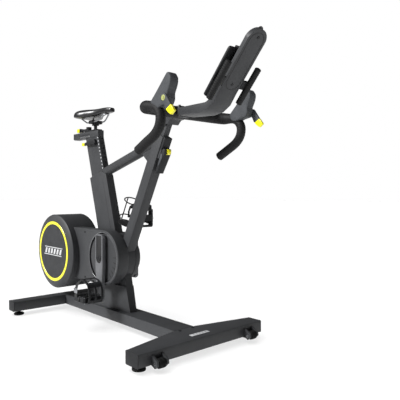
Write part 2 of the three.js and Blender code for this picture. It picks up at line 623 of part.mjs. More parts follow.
// ---- fittings on the front column ----
function buildFittings() {
  const rear = -COLUMN.halfDepth - GAP;
  const ringR = 36;
  const plate = block(rear - 8, rear, -16, 16, 132, 300);
  const hoops = [168, 252].map((z) => toSolid(new THREE.TorusGeometry(ringR, 2.8, 5, 20)
    .translate(rear - 3 - ringR, 0, z)));
  const rail = block(rear - 2 * ringR - 5, rear - 2 * ringR - 1, -3, 3, 140, 254);
  const shelf = pin(ringR, 140, 143, rear - 3 - ringR, 0, 20);
  add('bottle_cage', join(plate, ...hoops, rail, shelf), look.dark, columnFrame);

  const lever = outline([[37, 540], [44, 547], [52, 547], [58, 530], [50, 440], [40, 436], [37, 446]]);
  add('column_lever', sideways(lever, -18, 18, 2), look.dark, columnFrame);
}

buildBase();
buildWheels();
buildHub();
buildPedestal();
buildSeatColumn();
buildTopTube();
buildFrontColumn();
buildRearStay();
buildCovers();
buildDrive();
buildCranks();
buildSeat();
buildHandlebar();
buildConsole();
buildFittings();

const filled = new THREE.Box3().setFromObject(bike);
bike.position.set(-(filled.min.x + filled.max.x) / 2, 0, 0);

export default bike;
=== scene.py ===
# Indoor exercise bike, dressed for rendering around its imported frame.
# Lengths in the dictionaries are millimetres: X from the crank axis, Y from the middle plane, Z from the floor.
import json
import math

import bmesh
import bpy
from mathutils import Matrix, Vector


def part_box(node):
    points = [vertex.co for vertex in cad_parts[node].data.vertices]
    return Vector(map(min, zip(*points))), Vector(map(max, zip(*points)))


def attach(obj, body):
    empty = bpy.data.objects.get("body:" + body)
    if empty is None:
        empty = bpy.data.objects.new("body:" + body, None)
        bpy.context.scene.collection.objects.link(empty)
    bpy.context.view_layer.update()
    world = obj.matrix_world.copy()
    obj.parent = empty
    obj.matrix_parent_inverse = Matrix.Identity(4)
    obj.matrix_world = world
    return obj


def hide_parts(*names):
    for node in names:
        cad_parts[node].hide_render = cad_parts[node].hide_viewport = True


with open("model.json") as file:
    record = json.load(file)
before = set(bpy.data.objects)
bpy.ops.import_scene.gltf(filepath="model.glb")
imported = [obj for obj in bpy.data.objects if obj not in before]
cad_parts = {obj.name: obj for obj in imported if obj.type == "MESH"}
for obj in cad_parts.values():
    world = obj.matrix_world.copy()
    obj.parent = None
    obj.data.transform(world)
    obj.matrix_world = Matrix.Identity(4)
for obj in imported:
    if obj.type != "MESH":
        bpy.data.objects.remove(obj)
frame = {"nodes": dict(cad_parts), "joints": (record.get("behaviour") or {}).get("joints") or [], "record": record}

joints = {joint["name"]: joint for joint in frame["joints"]}
crankX = joints["crank_spin"]["pos_m"][0]
crankZ = joints["crank_spin"]["pos_m"][2] * 1000
wheelX = (joints["flywheel_spin"]["pos_m"][0] - crankX) * 1000
wheelZ = joints["flywheel_spin"]["pos_m"][2] * 1000


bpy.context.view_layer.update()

# Camera: place in millimetres, angles in degrees, lens in millimetres on a 36 mm sensor.
view = {"place": (1771, -1229, 593), "azimuth": 49.41, "down": 0.86, "lens": 42.12, "shift": 0.0875}


def at(x, y, z):
    return Vector((crankX + x / 1000, y / 1000, z / 1000))


def newObject(name, data):
    item = bpy.data.objects.new(name, data)
    bpy.context.scene.collection.objects.link(item)
    return item


def placeCamera(spec):
    turn, down = math.radians(spec["azimuth"]), math.radians(spec["down"])
    look = Vector((-math.sin(turn) * math.cos(down), math.cos(turn) * math.cos(down), -math.sin(down)))
    data = bpy.data.cameras.new("studioCamera")
    data.sensor_width = 36
    data.lens = spec["lens"]
    data.shift_x = spec["shift"]
    data.clip_end = 60
    camera = newObject("studioCamera", data)
    camera.matrix_world = Matrix.Translation(at(*spec["place"])) @ look.to_track_quat("-Z", "Y").to_matrix().to_4x4()
    bpy.context.scene.camera = camera


placeCamera(view)
print("camera placed")

# Members that lean, each with its own axes: x forward of the member, z along it.
seatMember = {"x": -24, "z": crankZ, "lean": -16.33}
columnMember = {"x": 61, "z": crankZ, "lean": 27}
consoleMember = {"x": 676, "z": 946, "lean": 40}
uprightMember = {"x": 0, "z": 0, "lean": 0}
hands = (("right", -1), ("left", 1))


def onMember(member, x, y, z):
    turn = math.radians(member["lean"])
    return at(member["x"] + x * math.cos(turn) + z * math.sin(turn), y,
              member["z"] - x * math.sin(turn) + z * math.cos(turn))


# A mesh object in the scene, with doubled points merged and normals facing out.
def makePiece(name, points, faces, smooth=35):
    mesh = bpy.data.meshes.new(name)
    mesh.from_pydata([tuple(p) for p in points], [], faces)
    piece = newObject(name, mesh)
    tidy(mesh, smooth)
    return piece


def shade(mesh, smooth):
    mesh.shade_smooth()
    mesh.set_sharp_from_angle(angle=math.radians(smooth))


def tidy(mesh, smooth):
    work = bmesh.new()
    work.from_mesh(mesh)
    bmesh.ops.remove_doubles(work, verts=work.verts, dist=1e-6)
    bmesh.ops.recalc_face_normals(work, faces=work.faces)
    work.to_mesh(mesh)
    work.free()
    shade(mesh, smooth)


def applyModifiers(piece, smooth=35):
    mesh = bpy.data.meshes.new_from_object(piece.evaluated_get(bpy.context.evaluated_depsgraph_get()))
    piece.modifiers.clear()
    piece.data = mesh
    shade(mesh, smooth)
    return piece


def rounded(piece, width, segments, limit=30, smooth=45):
    bevel = piece.modifiers.new("edges", "BEVEL")
    bevel.width = width / 1000
    bevel.segments = segments
    bevel.limit_method = "ANGLE"
    bevel.angle_limit = math.radians(limit)
    bevel.harden_normals = False
    return applyModifiers(piece, smooth)


def softened(piece, levels=1):
    smoother = piece.modifiers.new("smooth", "SUBSURF")
    smoother.levels = levels
    smoother.render_levels = levels
    return applyModifiers(piece, 60)


def carved(piece, cutter):
    tool = piece.modifiers.new("cut", "BOOLEAN")
    tool.operation = "DIFFERENCE"
    tool.solver = "EXACT"
    tool.object = cutter
    applyModifiers(piece)
    bpy.data.objects.remove(cutter)
    return piece


def merged(name, *pieces):
    work = bmesh.new()
    for piece in pieces:
        work.from_mesh(piece.data)
        bpy.data.objects.remove(piece)
    mesh = bpy.data.meshes.new(name)
    work.to_mesh(mesh)
    work.free()
    shade(mesh, 35)
    return newObject(name, mesh)


def spun(name, profile, x, z, steps=112, place=None):
    put = place or (lambda radius, turn, along: at(x + radius * math.sin(turn), along, z + radius * math.cos(turn)))
    points, rows = [], []
    for radius, along in profile:
        if radius == 0:
            rows.append([len(points)])
            points.append(put(0, 0, along))
            continue
        rows.append(list(range(len(points), len(points) + steps)))
        points += [put(radius, 2 * math.pi * i / steps, along) for i in range(steps)]
    closed = profile[0][0] > 0
    pairs = list(zip(rows, rows[1:])) + ([(rows[-1], rows[0])] if closed else [])
    faces = []
    for low, high in pairs:
        for i in range(steps):
            j = (i + 1) % steps
            ring = [low[i % len(low)], low[j % len(low)], high[j % len(high)], high[i % len(high)]]
            face = list(dict.fromkeys(ring))
            if len(face) > 2:
                faces.append(face)
    return makePiece(name, points, faces)


def spunUpright(name, profile, x, y, steps=64):
    return spun(name, profile, x, 0, steps,
                lambda radius, turn, z: at(x + radius * math.sin(turn), y + radius * math.cos(turn), z))


# An outline given a thickness: put(u, v, depth) says where each point goes.
def slab(name, outline, low, high, put, bevel=0, segments=3):
    count = len(outline)
    points = [put(u, v, low) for u, v in outline] + [put(u, v, high) for u, v in outline]
    faces = [list(range(count))[::-1], list(range(count, 2 * count))]
    faces += [[i, (i + 1) % count, count + (i + 1) % count, count + i] for i in range(count)]
    piece = makePiece(name, points, faces)
    return rounded(piece, bevel, segments) if bevel else piece


def sideOf(member):
    return lambda u, v, depth: onMember(member, u, depth, v)


def acrossOf(member):
    return lambda u, v, depth: onMember(member, depth, u, v)


upright = sideOf(uprightMember)


def arcPoints(x, z, radius, start, end, count):
    turns = [math.radians(start + (end - start) * i / count) for i in range(count + 1)]
    return [(x + radius * math.cos(t), z + radius * math.sin(t)) for t in turns]


def stadium(x0, x1, z, radius, count=40):
    return arcPoints(x1, z, radius, -90, 90, count) + arcPoints(x0, z, radius, 90, 270, count)


def roundedRect(u0, u1, v0, v1, radius, count=6):
    corners = [(u1 - radius, v0 + radius, -90), (u1 - radius, v1 - radius, 0), (u0 + radius, v1 - radius, 90),
               (u0 + radius, v0 + radius, 180)]
    return [p for u, v, start in corners for p in arcPoints(u, v, radius, start, start + 90, count)]


# A smooth path through the points, with per steps between each two.
def smoothPath(points, per):
    points = [Vector(p) for p in points]
    last = len(points) - 1
    path = []
    for i in range(last):
        a, b, c, d = points[max(i - 1, 0)], points[i], points[i + 1], points[min(i + 2, last)]
        for step in range(per):
            t = step / per
            path.append(0.5 * (2 * b + (c - a) * t + (2 * a - 5 * b + 4 * c - d) * t * t
                               + (3 * b - a - 3 * c + d) * t ** 3))
    return path + [points[last]]


# A round bar along a path of points in metres; radius is a number or a function of the distance along it.
def swept(name, path, radius, sides=16, closed=False):
    count = len(path)
    points, faces, walked = [], [], 0.0
    side = None
    total = sum((path[i + 1] - path[i]).length for i in range(count - 1)) * 1000
    for i, point in enumerate(path):
        ahead = path[(i + 1) % count] if closed or i < count - 1 else point
        behind = path[i - 1] if closed or i > 0 else point
        along = (ahead - behind).normalized()
        if side is None:
            side = along.orthogonal().normalized()
        side = (side - along * side.dot(along)).normalized()
        other = along.cross(side)
        walked += (point - path[i - 1]).length * 1000 if i else 0
        size = radius(walked, total) if callable(radius) else radius
        for k in range(sides):
            turn = 2 * math.pi * k / sides
            points.append(point + (side * math.cos(turn) + other * math.sin(turn)) * size / 1000)
    for i in range(count if closed else count - 1):
        for k in range(sides):
            j, m = (i + 1) % count, (k + 1) % sides
            faces.append([i * sides + k, i * sides + m, j * sides + m, j * sides + k])
    if not closed:
        faces.append(list(range(sides))[::-1])
        faces.append(list(range((count - 1) * sides, count * sides)))
    return makePiece(name, points, faces, 50)


# A #rrggbb colour as linear light.
def linear(code):
    channels = [int(code[i:i + 2], 16) / 255 for i in (1, 3, 5)]
    return tuple(c / 12.92 if c <= 0.04045 else ((c + 0.055) / 1.055) ** 2.4 for c in channels) + (1.0,)


def addNode(tree, kind, settings=None, inputs=None):
    node = tree.nodes.new(kind)
    for key, value in (settings or {}).items():
        setattr(node, key, value)
    for key, value in (inputs or {}).items():
        if isinstance(value, bpy.types.NodeSocket):
            tree.links.new(value, node.inputs[key])
        else:
            node.inputs[key].default_value = value
    return node


def startMaterial(name):
    material = bpy.data.materials.new(name)
    material.use_nodes = True
    material.node_tree.nodes.clear()
    return material, material.node_tree


def endMaterial(tree, shaderInputs):
    shader = addNode(tree, "ShaderNodeBsdfPrincipled", inputs=shaderInputs)
    addNode(tree, "ShaderNodeOutputMaterial", inputs={"Surface": shader.outputs["BSDF"]})


# Noise, and a colour that drifts with it between two shades.
def driftingColour(tree, place, dark, light, ends=(0, 1), **noise):
    drift = addNode(tree, "ShaderNodeTexNoise", inputs={"Vector": place, **noise})
    ramp = addNode(tree, "ShaderNodeValToRGB", inputs={"Fac": drift.outputs["Fac"]})
    for element, position, colour in zip(ramp.color_ramp.elements, ends, (dark, light)):
        element.position, element.color = position, colour
    return drift.outputs["Fac"], ramp.outputs["Color"]


# Colour drifting between two shades, a roughness that follows it, and a grain of a real size in millimetres.
def grainedMaterial(name, spec):
    material, tree = startMaterial(name)
    place = addNode(tree, "ShaderNodeTexCoord").outputs["Object"]
    drift, colour = driftingColour(tree, place, linear(spec["dark"]), linear(spec["light"]), (0.32, 0.68),
                                   Scale=1000 / spec["driftMm"], Detail=3.0, Roughness=0.55)
    gloss = addNode(tree, "ShaderNodeMapRange", inputs={
        "Value": drift, "To Min": spec["rough"][0], "To Max": spec["rough"][1]})
    if spec.get("pattern") == "cells":
        grain = addNode(tree, "ShaderNodeTexVoronoi", {"feature": "DISTANCE_TO_EDGE"}, {
            "Vector": place, "Scale": 1000 / spec["grainMm"]})
        height = addNode(tree, "ShaderNodeMath", {"operation": "MINIMUM"}, {0: grain.outputs["Distance"], 1: 0.12})
        height = height.outputs["Value"]
    else:
        stretched = addNode(tree, "ShaderNodeMapping", inputs={
            "Vector": place, "Scale": spec.get("stretch", (1, 1, 1))})
        grain = addNode(tree, "ShaderNodeTexNoise", inputs={
            "Vector": stretched.outputs["Vector"], "Scale": 1000 / spec["grainMm"], "Detail": 4.0})
        height = grain.outputs["Fac"]
    bump = addNode(tree, "ShaderNodeBump", inputs={
        "Height": height, "Strength": spec["bump"], "Distance": spec["grainMm"] / 4000})
    endMaterial(tree, {
        "Base Color": colour, "Roughness": gloss.outputs["Result"],
        "Metallic": spec.get("metallic", 0.0), "Specular IOR Level": spec.get("specular", 0.5),
        "Coat Weight": spec.get("coat", 0.0), "Coat Roughness": 0.15,
        "Normal": bump.outputs["Normal"]})
    return material


finishes = {
    # Powder coat on steel tube: satin, with the faint orange peel of a baked coat.
    "powderCoat": {"dark": "#343537", "light": "#3a3b3d", "rough": (0.46, 0.56), "driftMm": 90, "grainMm": 2.2,
                   "bump": 0.08, "specular": 0.3},
    # Moulded ABS cover: finer spark-eroded texture, a little darker than the tube.
    "mouldedCover": {"dark": "#333436", "light": "#3a3b3d", "rough": (0.46, 0.56), "driftMm": 120, "grainMm": 1.6,
                     "bump": 0.1, "specular": 0.35},
    # Black polypropylene of knobs, levers and holders: matt and pebbled.
    "blackPlastic": {"dark": "#17181a", "light": "#1f2022", "rough": (0.48, 0.6), "driftMm": 40, "grainMm": 1.4,
                     "bump": 0.2, "specular": 0.28},
    # Dished disc of the flywheel cover: coarse stippled ABS that stays dark.
    "stippledDisc": {"dark": "#252628", "light": "#333436", "rough": (0.5, 0.66), "driftMm": 22, "grainMm": 3.0,
                     "bump": 0.5, "specular": 0.3},
    # Yellow gloss ABS: bright, evenly coloured, slightly clear-coated.
    "yellowGloss": {"dark": "#ece31a", "light": "#f6f024", "rough": (0.25, 0.33), "driftMm": 60, "grainMm": 4.0,
                    "bump": 0.04, "coat": 0.25},
    # Thermoplastic rubber hood: dark grey and dry to the touch.
    "hoodRubber": {"dark": "#3e4043", "light": "#46484b", "rough": (0.6, 0.72), "driftMm": 30, "grainMm": 1.8,
                   "bump": 0.2, "pattern": "cells", "specular": 0.3},
    # Foam rubber grip: black with a small cell pattern pressed in.
    "gripRubber": {"dark": "#0e0e0f", "light": "#171718", "rough": (0.58, 0.72), "driftMm": 25, "grainMm": 2.6,
                   "bump": 0.4, "pattern": "cells", "specular": 0.28},
    # Moulded rubber of feet and castors: dead black, with no highlight.
    "footRubber": {"dark": "#0d0d0d", "light": "#161616", "rough": (0.7, 0.85), "driftMm": 15, "grainMm": 1.5,
                   "bump": 0.3, "specular": 0.2},
    # Polished rim of the crank dish: glossy trim, coloured a lighter grey than the cover as a painted highlight of its
    # lit bevel.
    "rimHighlightGloss": {"dark": "#4b4c4f", "light": "#56575a", "rough": (0.16, 0.22), "driftMm": 60, "grainMm": 3.0,
                  "bump": 0.03, "coat": 0.5, "specular": 0.8},
    # Lime-tinted soft plastic round the shift button: muted beside the gloss yellow.
    "limeTrim": {"dark": "#9da262", "light": "#adb270", "rough": (0.45, 0.55), "driftMm": 30, "grainMm": 2.0,
                 "bump": 0.1, "specular": 0.3},
    # Painted crank: the same coat one shade lighter, so that it reads against the cover.
    "crankPaint": {"dark": "#56575a", "light": "#636467", "rough": (0.36, 0.46), "driftMm": 70, "grainMm": 2.0,
                   "bump": 0.12},
    # Drawn and brushed steel: bright, with fine lines along the bar.
    "brushedSteel": {"dark": "#8b8d90", "light": "#a9abae", "rough": (0.24, 0.36), "driftMm": 20, "grainMm": 1.2,
                     "bump": 0.2, "metallic": 1.0, "stretch": (1, 0.05, 1)},
    # Turned iron of the flywheel and pulley: dull grey, with a rough shine.
    "castIron": {"dark": "#4a4c4f", "light": "#5a5c5f", "rough": (0.45, 0.6), "driftMm": 12, "grainMm": 2.5,
                 "bump": 0.4, "metallic": 0.9},
    # Nylon-dipped wire: a smooth black coat with a soft shine.
    "dippedWire": {"dark": "#131314", "light": "#1b1b1c", "rough": (0.32, 0.42), "driftMm": 30, "grainMm": 3.0,
                   "bump": 0.1, "coat": 0.1},
    # Synthetic leather of the saddle: black, pebbled like hide, with soft highlights.
    "saddleHide": {"dark": "#141416", "light": "#1b1b1d", "rough": (0.26, 0.36), "driftMm": 60, "grainMm": 1.4,
                   "bump": 0.07, "pattern": "cells", "specular": 0.55},
    # Woven nylon toe strap: ribs across the band.
    "wovenStrap": {"dark": "#161617", "light": "#262628", "rough": (0.7, 0.85), "driftMm": 4, "grainMm": 1.2,
                   "bump": 0.7, "stretch": (1, 0.15, 1)},
    # Printed or anodised trim: pale grey marks that stand out on the dark parts.
    "paleTrim": {"dark": "#b9babc", "light": "#c8c9cb", "rough": (0.35, 0.45), "driftMm": 25, "grainMm": 1.5,
                 "bump": 0.08},
    # Nearly black: painted shade in recesses, slots, sockets and grooves, so that they read as depth; also printed
    # ticks and seam lines.
    "shadeAndPrintBlack": {"dark": "#08080a", "light": "#0e0e10", "rough": (0.55, 0.65), "driftMm": 20, "grainMm": 1.5,
                    "bump": 0.15},
    # Toughened glass over a dark display: black, with a faint reflection.
    "screenGlass": {"dark": "#07080a", "light": "#0b0d10", "rough": (0.3, 0.36), "driftMm": 80, "grainMm": 5.0,
                    "bump": 0.01, "specular": 0.12},
}
materials = {name: grainedMaterial(name, spec) for name, spec in finishes.items()}


# Lit marks on the display: a soft glow in lime or grey that varies slightly over the panel.
def glowMaterial(name, code, strength):
    material, tree = startMaterial(name)
    place = addNode(tree, "ShaderNodeTexCoord").outputs["Object"]
    dimmer = tuple(0.8 * channel for channel in linear(code)[:3]) + (1.0,)
    _, colour = driftingColour(tree, place, dimmer, linear(code), Scale=60.0)
    endMaterial(tree, {"Base Color": colour, "Roughness": 0.4, "Specular IOR Level": 0.12,
                       "Emission Color": colour, "Emission Strength": strength})
    return material


materials["glowYellow"] = glowMaterial("glowYellow", "#c8c832", 0.6)
materials["glowGrey"] = glowMaterial("glowGrey", "#8a8c90", 0.4)
print("materials made:", len(materials))


def dress(piece, finish, body, replaced=()):
    piece.data.materials.clear()
    piece.data.materials.append(materials[finish])
    for face in piece.data.polygons:
        face.material_index = 0
    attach(piece, body)
    if replaced:
        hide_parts(*replaced)
    return piece


def trim(piece, finish, body):
    return dress(piece, finish, body)


nodeBody = {node: body for body, members in frame["record"]["behaviour"]["bodies"].items() for node in members}


# A welded copy of a CAD solid, so that its curved faces shade smoothly.
def welded(node, finish, angle=32):
    source = frame["nodes"][node]
    mesh = source.data.copy()
    piece = newObject("skin_" + node, mesh)
    work = bmesh.new()
    work.from_mesh(mesh)
    bmesh.ops.remove_doubles(work, verts=work.verts, dist=2e-6)
    bmesh.ops.dissolve_limit(work, angle_limit=math.radians(0.6), verts=work.verts, edges=work.edges)
    bmesh.ops.recalc_face_normals(work, faces=work.faces)
    work.to_mesh(mesh)
    work.free()
    for name in [layer.name for layer in mesh.attributes if layer.name == "custom_normal"]:
        mesh.attributes.remove(mesh.attributes[name])
    shade(mesh, angle)
    return dress(piece, finish, nodeBody[node], (node,))


# A geometry node group with the given inputs, and the identifier of each input.
def startTree(name, sockets):
    tree = bpy.data.node_groups.new(name, "GeometryNodeTree")
    tree.interface.new_socket(name="Geometry", in_out="INPUT", socket_type="NodeSocketGeometry")
    identifiers = {}
    for label, kind in sockets:
        identifiers[label] = tree.interface.new_socket(name=label, in_out="INPUT", socket_type=kind).identifier
    tree.interface.new_socket(name="Geometry", in_out="OUTPUT", socket_type="NodeSocketGeometry")
    return tree, addNode(tree, "NodeGroupInput"), identifiers


def endTree(tree, geometry):
    whole = addNode(tree, "GeometryNodeRealizeInstances", inputs={"Geometry": geometry})
    addNode(tree, "NodeGroupOutput", inputs={"Geometry": whole.outputs["Geometry"]})


def painted(tree, geometry, finish):
    node = addNode(tree, "GeometryNodeSetMaterial", inputs={"Geometry": geometry, "Material": finish})
    return node.outputs["Geometry"]


# Socket screw: a low round head with a six-sided recess coloured near black as painted shade, one on each point.
def screwTree():
    tree, given, identifiers = startTree("socketScrews", [
        ("Radius", "NodeSocketFloat"), ("Height", "NodeSocketFloat"), ("Turn", "NodeSocketRotation"),
        ("Head finish", "NodeSocketMaterial"), ("Socket shade finish", "NodeSocketMaterial")])
    head = addNode(tree, "GeometryNodeMeshCylinder", inputs={
        "Vertices": 24, "Radius": given.outputs["Radius"], "Depth": given.outputs["Height"]})
    narrow = addNode(tree, "ShaderNodeMath", {"operation": "MULTIPLY"}, {0: given.outputs["Radius"], 1: 0.5})
    taller = addNode(tree, "ShaderNodeMath", {"operation": "MULTIPLY"}, {0: given.outputs["Height"], 1: 1.06})
    # The recess is a solid six-sided block in painted shade, standing for the hollow of the socket.
    recess = addNode(tree, "GeometryNodeMeshCylinder", inputs={
        "Vertices": 6, "Radius": narrow.outputs["Value"], "Depth": taller.outputs["Value"]})
    headSet = painted(tree, head.outputs["Mesh"], given.outputs["Head finish"])
    socketShadeSet = painted(tree, recess.outputs["Mesh"], given.outputs["Socket shade finish"])
    both = addNode(tree, "GeometryNodeJoinGeometry")
    tree.links.new(headSet, both.inputs["Geometry"])
    tree.links.new(socketShadeSet, both.inputs["Geometry"])
    spread = addNode(tree, "GeometryNodeInstanceOnPoints", inputs={
        "Points": given.outputs["Geometry"], "Instance": both.outputs["Geometry"],
        "Rotation": given.outputs["Turn"]})
    endTree(tree, spread.outputs["Instances"])
    return tree, identifiers


# Repeated bars, ribs or ticks: one block of a given size and turn on each point.
def barTree():
    tree, given, identifiers = startTree("repeatedBars", [
        ("Size", "NodeSocketVector"), ("Turn", "NodeSocketRotation"), ("Finish", "NodeSocketMaterial")])
    bar = addNode(tree, "GeometryNodeMeshCube", inputs={"Size": given.outputs["Size"]})
    spread = addNode(tree, "GeometryNodeInstanceOnPoints", inputs={
        "Points": given.outputs["Geometry"], "Instance": bar.outputs["Mesh"], "Rotation": given.outputs["Turn"]})
    endTree(tree, painted(tree, spread.outputs["Instances"], given.outputs["Finish"]))
    return tree, identifiers


trees = {"screws": screwTree(), "bars": barTree()}


def grow(name, kind, points, values, body):
    tree, identifiers = trees[kind]
    mesh = bpy.data.meshes.new(name)
    mesh.from_pydata([tuple(p) for p in points], [], [])
    piece = newObject(name, mesh)
    modifier = piece.modifiers.new(kind, "NODES")
    modifier.node_group = tree
    for label, value in values.items():
        modifier[identifiers[label]] = value
    piece.update_tag()
    applyModifiers(piece)
    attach(piece, body)
    return piece


def turnOf(*degrees):
    return tuple(math.radians(d) for d in degrees)


def screws(name, points, radius, height, turn, body, head="brushedSteel"):
    return grow(name, "screws", points, {
        "Radius": radius / 1000, "Height": height / 1000, "Turn": turnOf(*turn),
        "Head finish": materials[head], "Socket shade finish": materials["shadeAndPrintBlack"]}, body)


def bars(name, points, size, turn, finish, body):
    return grow(name, "bars", points, {
        "Size": tuple(length / 1000 for length in size), "Turn": turnOf(*turn), "Finish": materials[finish]},
        body)


print("node trees made")

# Base: beam, feet and castors.
for node in ("base_beam", "front_foot", "rear_foot", "pedestal"):
    welded(node, "powderCoat")

footEnds = {"thick": 2.4, "frontX": (503, 573), "rearX": (-458, -397), "z": (21, 70), "corner": 5}


def footEnd(name, xRange, y, side):
    outline = roundedRect(xRange[0], xRange[1], footEnds["z"][0], footEnds["z"][1], footEnds["corner"])
    low, high = sorted((side * y, side * (y + footEnds["thick"])))
    trim(slab(name, outline, low, high, upright, 1.0), "blackPlastic", "frame")


for hand, side in hands:
    footEnd("frontFootEnd_" + hand, footEnds["frontX"], 315.2, side)
    footEnd("rearFootEnd_" + hand, footEnds["rearX"], 322.2, side)

beamPlate = {"x": (526, 545), "halfY": 46, "z": (69.1, 70.4), "corner": 3}
trim(slab("footTrim", roundedRect(*beamPlate["x"], -beamPlate["halfY"], beamPlate["halfY"], beamPlate["corner"]),
          *beamPlate["z"], at, 0.4), "paleTrim", "frame")
bars("footTrimTicks", [at(535.5, y, 70.5) for y in (-30, -15, 0, 15, 30)], (9, 1.6, 0.5), (0, 0, 0), "shadeAndPrintBlack",
     "frame")

levelFoot = {"stem": 8, "groove": 0.7, "threadLow": 13.5, "pitch": 1.75, "threads": 5}
threads = [(levelFoot["stem"] - (levelFoot["groove"] if k % 2 else 0),
            levelFoot["threadLow"] + k * levelFoot["pitch"] / 2) for k in range(2 * levelFoot["threads"])]
padProfile = [(0, 0), (21, 0), (23.2, 0.8), (24, 2.4), (24, 7.4), (22.6, 9.4), (12, 12.4), (9.2, 13.2)]
for corner in ("front_right", "front_left", "rear_right", "rear_left"):
    low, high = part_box("levelling_foot_" + corner)
    x, y = (low.x + high.x) * 500 - crankX * 1000, (low.y + high.y) * 500
    profile = padProfile + threads + [(levelFoot["stem"], 21.6), (0, 21.6)]
    dress(spunUpright("levelFoot_" + corner, profile, x, y), "footRubber", "frame", ("levelling_foot_" + corner,))

castor = {"x": 591, "y": 236, "z": 30, "radius": 17, "half": 16.8, "hub": 9, "bore": 5.3}
castorHalf = [(castor["bore"], castor["half"]), (castor["hub"], castor["half"]), (castor["hub"] + 1, 15.4),
              (castor["radius"] - 3, 15.4), (castor["radius"] - 0.6, 12.8), (castor["radius"], 8),
              (castor["radius"], 1.4), (castor["radius"] - 1.6, 0)]
for hand, side in hands:
    y, node = side * castor["y"], "transport_wheel_" + hand
    profile = [(r, y - out) for r, out in castorHalf] + [(r, y + out) for r, out in castorHalf[-2::-1]]
    dress(spun("castor_" + hand, profile, castor["x"], castor["z"], 64), "footRubber", node, (node,))
screws("castorPins", [at(castor["x"], side * y, castor["z"]) for y in (262.6, 209.4) for side in (-1, 1)], 4.6, 1.6,
       (90, 0, 0), "frame")
screws("baseScrews", [at(x, y, 69.6) for x in (463, -380) for y in (-34, 34)], 6, 2, (0, 0, 0), "frame",
       "blackPlastic")
print("base built")

# Frame members.
for node in ("seat_column", "top_tube", "front_column", "rear_stay"):
    welded(node, "powderCoat")
hub = {"radius": 110, "half": 23.9, "edge": 22, "bore": 26}
hubProfile = [(hub["bore"], -hub["half"]), (hub["radius"] - 2, -hub["half"]), (hub["radius"], -hub["edge"]),
              (hub["radius"], hub["edge"]), (hub["radius"] - 2, hub["half"]), (hub["bore"], hub["half"])]
dress(spun("hubShell", hubProfile, 0, crankZ), "powderCoat", "frame", ("frame_hub",))
seam = [(36, 60), (37.6, 60), (37.6, 352), (36, 352)]
trim(slab("columnSeam", seam, -21.3, 21.3, sideOf(seatMember), 0.1), "shadeAndPrintBlack", "frame")

# Covers over the flywheel and the crank.
cover = {"face": -80, "rim": 123, "dish": 112, "dishFloor": -64, "drum": 185, "split": -24.3}
bandPart = slab("band", stadium(wheelX, 0, crankZ, cover["rim"]), cover["face"], cover["split"],
                upright, 3.2, 4)
dishCutter = spun("dishCutter", [(0, cover["face"] - 4), (cover["dish"] + 1.5, cover["face"] - 4),
                                 (cover["dish"] + 1.5, cover["face"]), (cover["dish"], cover["face"] + 1.5),
                                 (cover["dish"], cover["dishFloor"]), (0, cover["dishFloor"])], 0, crankZ)
bandPart = carved(bandPart, dishCutter)
drumPart = spun("drum", [(0, cover["split"]), (cover["drum"], cover["split"]), (cover["drum"], -99),
                         (184.4, -102.4), (182.6, -104.4), (180, -105.1), (0, -105.1)], wheelX, wheelZ)
dress(merged("coverRight", bandPart, drumPart), "mouldedCover", "frame", ("drive_cover_right",))

# A glossy ring round the crank dish, lighter grey than the cover: a painted highlight of the lit bevel.
trim(spun("dishTrim", [(111.2, -79), (111.2, -80.6), (112.4, -81.4), (114.2, -81.4), (115.2, -80.4), (115.2, -79)],
          0, crankZ, 128), "rimHighlightGloss", "frame")

farDrum = spun("farDrum", [(0, -24), (185, -24), (185, 39), (183.4, 42.6), (180, 44.9), (0, 44.9)], wheelX, wheelZ)
farBand = slab("farBand", stadium(wheelX, 0, crankZ, 110), 24.3, 44, upright, 2.4)
farSide = slab("farSide", [(wheelX, crankZ - 110), (-116, crankZ - 110), (-116, crankZ + 110),
                           (wheelX, crankZ + 110)], -24, 26, upright)
farBoss = spun("farBoss", [(17, 42), (96, 42), (96, 45), (95, 52), (92.5, 60), (89, 64.6), (84, 66), (24, 66),
                           (20, 64), (17, 60)], 0, crankZ)
dress(merged("coverLeft", farDrum, farBand, farSide, farBoss), "mouldedCover", "frame", ("drive_cover_left",))

capProfile = [(185, -105.2), (185.2, -107.4), (184.2, -109.6), (181.5, -111.2), (172, -114.8), (162, -118.2),
              (154, -120.3), (151.2, -120.6), (150.4, -120), (150.4, -118.4), (120, -118.4), (120, -115.4),
              (149, -115.4), (177, -105.2)]
dress(spun("wheelCap", capProfile, wheelX, wheelZ, 144), "mouldedCover", "frame", ("flywheel_cap",))
dress(spun("wheelRing", [(136.3, -118.6), (136.3, -120.9), (137.4, -121.7), (149, -121.7), (150.1, -120.9),
                         (150.1, -118.6)], wheelX, wheelZ, 144), "yellowGloss", "frame", ("flywheel_cap_ring",))
discProfile = [(0, -119.6), (24, -119.7), (28, -120.4), (60, -120.5), (124, -121), (132, -121.2), (135.4, -120.6),
               (136, -118.7), (0, -118.7)]
dress(spun("wheelDisc", discProfile, wheelX, wheelZ, 144), "stippledDisc", "frame", ("flywheel_cap_disc",))


# Plain mark on the disc: slanted bars between two thin rails.
mark = {"half": 92, "low": -21, "high": 21, "rail": 4, "shift": 0.22, "bars": 6, "pitch": 30, "width": 17, "slant": 9,
        "margin": (6, 8), "y": (-121.5, -119.8)}


def markStroke(name, x0, x1, low, high, slant=0):
    outline = [(x0, wheelZ + low), (x1, wheelZ + low), (x1 + slant, wheelZ + high), (x0 + slant, wheelZ + high)]
    return slab(name, outline, *mark["y"], upright, 0.3)


